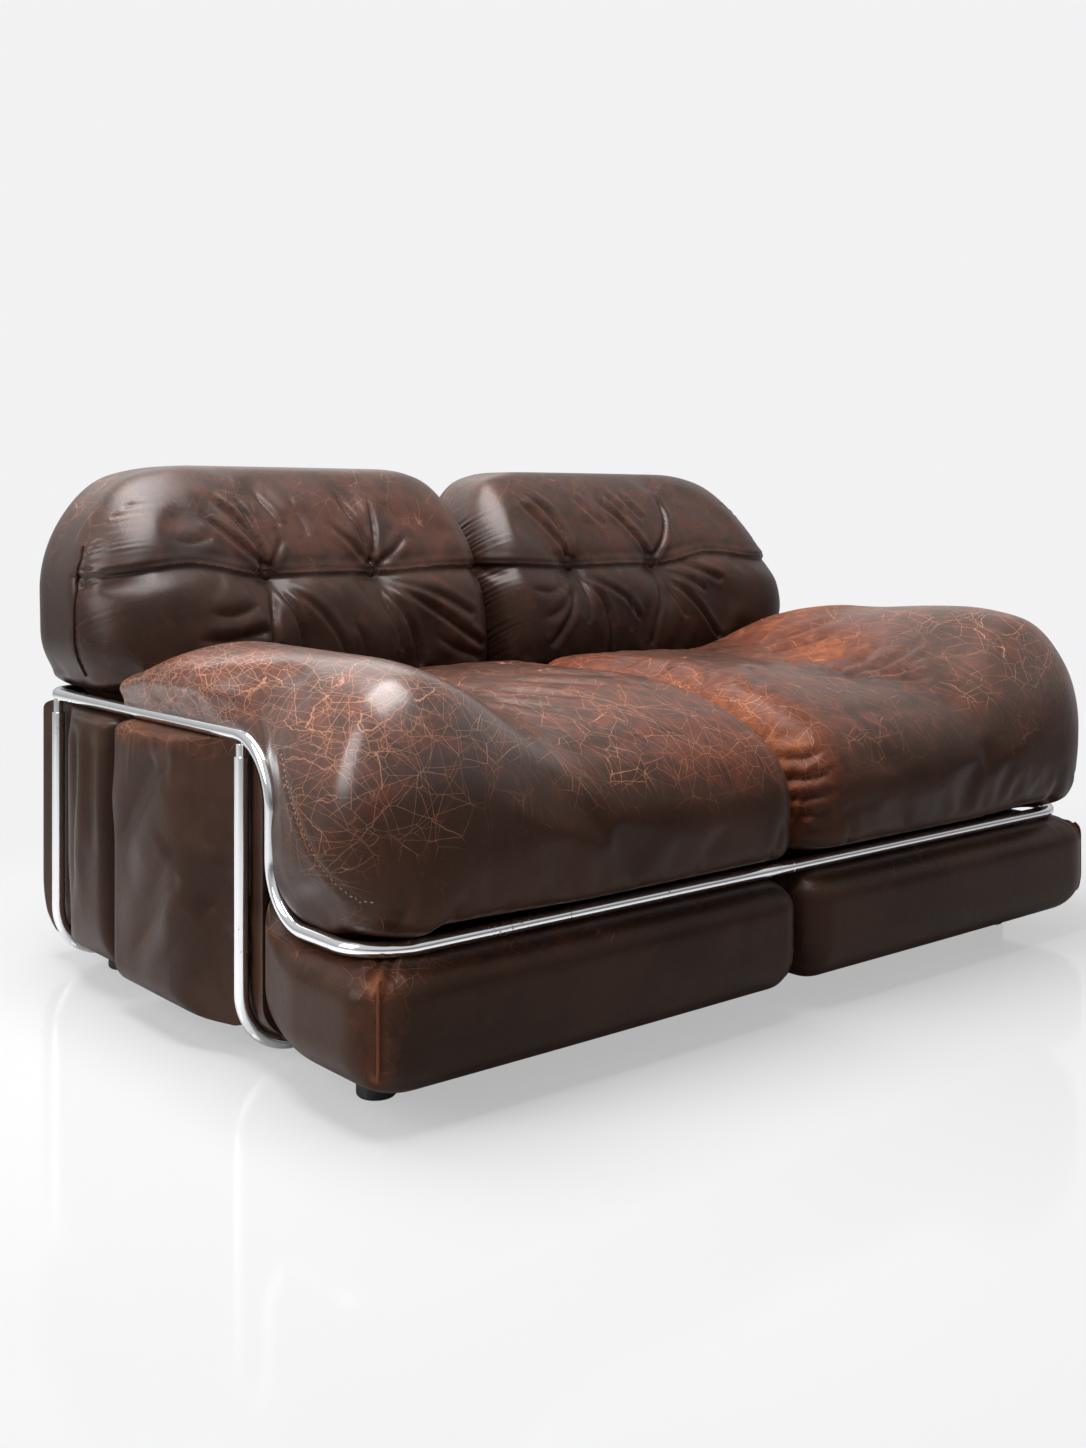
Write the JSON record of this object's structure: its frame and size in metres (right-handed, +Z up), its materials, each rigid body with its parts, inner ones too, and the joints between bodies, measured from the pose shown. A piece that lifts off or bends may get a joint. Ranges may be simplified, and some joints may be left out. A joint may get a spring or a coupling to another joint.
{
  "type": "worn leather sofa",
  "caption": "Low two-seat lounge sofa with worn brown leather cushions, tufted backs and pillow arms, held in a bent chrome tube frame with leg hoops and round black feet.",
  "frame": {"origin": "middle of the sofa's footprint, on the floor", "axes": "+X along the width towards the right seat as seen from the front, +Y towards the back, +Z up"},
  "size_m": [1.548, 1.053, 0.814],
  "materials": {
    "leather": "dark brown leather, crazed and worn to tan on the seats and arms",
    "chrome": "polished chrome plate with small scuffs at the bends",
    "steel": "plain steel",
    "wood": "raw plywood",
    "webbing": "woven jute",
    "dust_cloth": "thin black cloth",
    "foot_plastic": "black"
  },
  "bodies": {
    "root": {"left_side_tube": "chrome", "right_side_tube": "chrome", "front_tube": "chrome", "rear_tube": "chrome", "front_leg_hoop": "chrome", "rear_leg_hoop": "chrome", "left_front_joint_pin": "steel", "right_front_joint_pin": "steel", "left_rear_joint_pin": "steel", "right_rear_joint_pin": "steel", "left_front_leg_stub": "steel", "left_rear_leg_stub": "steel", "right_front_leg_stub": "steel", "right_rear_leg_stub": "steel", "left_seat_cushion": "leather", "right_seat_cushion": "leather", "left_base_roll": "leather", "right_base_roll": "leather", "left_arm_panel": "leather", "right_arm_panel": "leather", "left_lower_back": "leather", "right_lower_back": "leather", "left_back_cushion": "leather", "right_back_cushion": "leather", "left_back_left_button": "leather", "left_back_right_button": "leather", "right_back_left_button": "leather", "right_back_right_button": "leather", "left_seat_frame": "wood", "right_seat_frame": "wood", "left_back_board": "wood", "right_back_board": "wood", "left_webbing_strap_1": "webbing", "left_webbing_strap_2": "webbing", "left_webbing_strap_3": "webbing", "right_webbing_strap_1": "webbing", "right_webbing_strap_2": "webbing", "right_webbing_strap_3": "webbing", "left_dust_cloth": "dust_cloth", "right_dust_cloth": "dust_cloth", "left_front_foot": "foot_plastic", "right_front_foot": "foot_plastic", "left_rear_foot": "foot_plastic", "right_rear_foot": "foot_plastic"}
  },
  "joints": []
}
